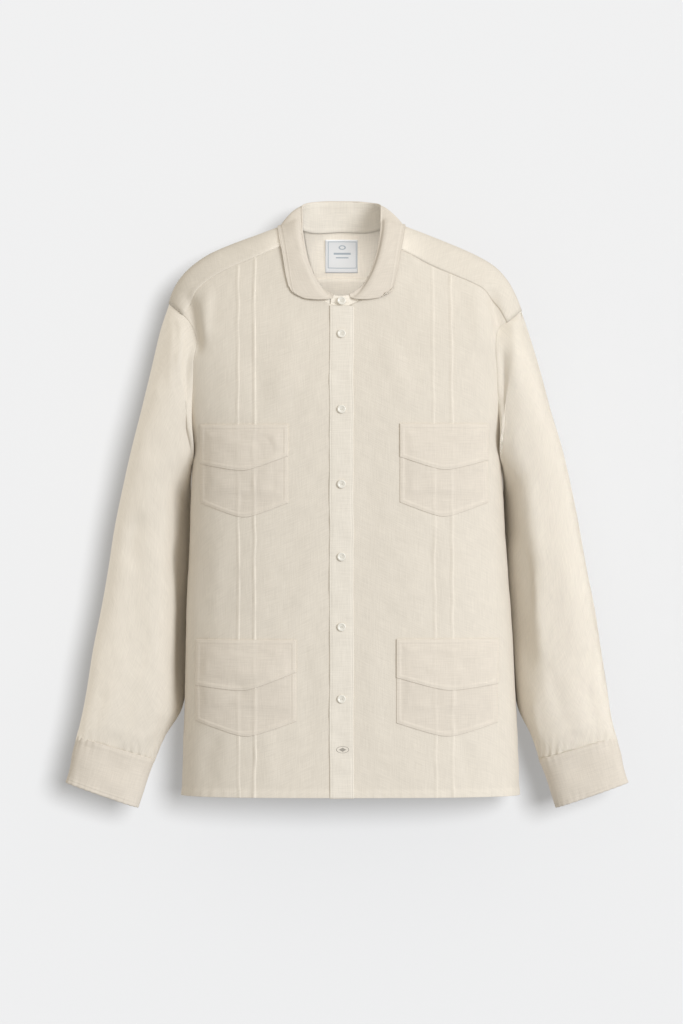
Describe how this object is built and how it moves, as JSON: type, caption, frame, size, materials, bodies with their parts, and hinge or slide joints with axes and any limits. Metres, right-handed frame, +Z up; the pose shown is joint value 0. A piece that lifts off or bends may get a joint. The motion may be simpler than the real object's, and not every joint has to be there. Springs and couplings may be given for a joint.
{
  "type": "guayabera shirt",
  "caption": "Long-sleeved linen guayabera shirt with a point collar, buttoned front, vertical tucks and flapped patch pockets, filled out and hollow with nobody in it.",
  "frame": {"origin": "the middle of the neck opening, at the height of the back collar seam, where the wearer's neck holds the shirt", "axes": "+Z up, the front with its buttons faces -Y, +X towards the wearer's left"},
  "size_m": [0.7515, 0.1903, 0.812],
  "materials": {
    "oatmeal_linen": "matt slubby plain-weave linen, one layer, a little see-through against what is behind it",
    "doubled_oatmeal_linen": "the same linen in two layers, pressed and topstitched, so it looks a little paler",
    "white_pearl_plastic": "pearly four-hole polyester button, polished",
    "white_label_tape": "close-woven white label tape"
  },
  "bodies": {
    "root": {"front_right": "oatmeal_linen", "front_left": "oatmeal_linen", "back": "oatmeal_linen", "yoke": "oatmeal_linen", "sleeve_right": "oatmeal_linen", "sleeve_left": "oatmeal_linen", "cuff_right": "doubled_oatmeal_linen", "cuff_left": "doubled_oatmeal_linen", "cuff_button_right": "white_pearl_plastic", "cuff_button_left": "white_pearl_plastic", "placket": "doubled_oatmeal_linen", "button_stand": "doubled_oatmeal_linen", "collar_stand": "doubled_oatmeal_linen", "collar_leaf": "doubled_oatmeal_linen", "pocket_chest_right": "doubled_oatmeal_linen", "flap_chest_right": "doubled_oatmeal_linen", "pocket_chest_left": "doubled_oatmeal_linen", "flap_chest_left": "doubled_oatmeal_linen", "pocket_hip_right": "doubled_oatmeal_linen", "flap_hip_right": "doubled_oatmeal_linen", "pocket_hip_left": "doubled_oatmeal_linen", "flap_hip_left": "doubled_oatmeal_linen", "neck_label": "white_label_tape", "button_1": "white_pearl_plastic", "button_2": "white_pearl_plastic", "button_3": "white_pearl_plastic", "button_4": "white_pearl_plastic", "button_5": "white_pearl_plastic", "button_6": "white_pearl_plastic", "button_7": "white_pearl_plastic"}
  },
  "joints": []
}
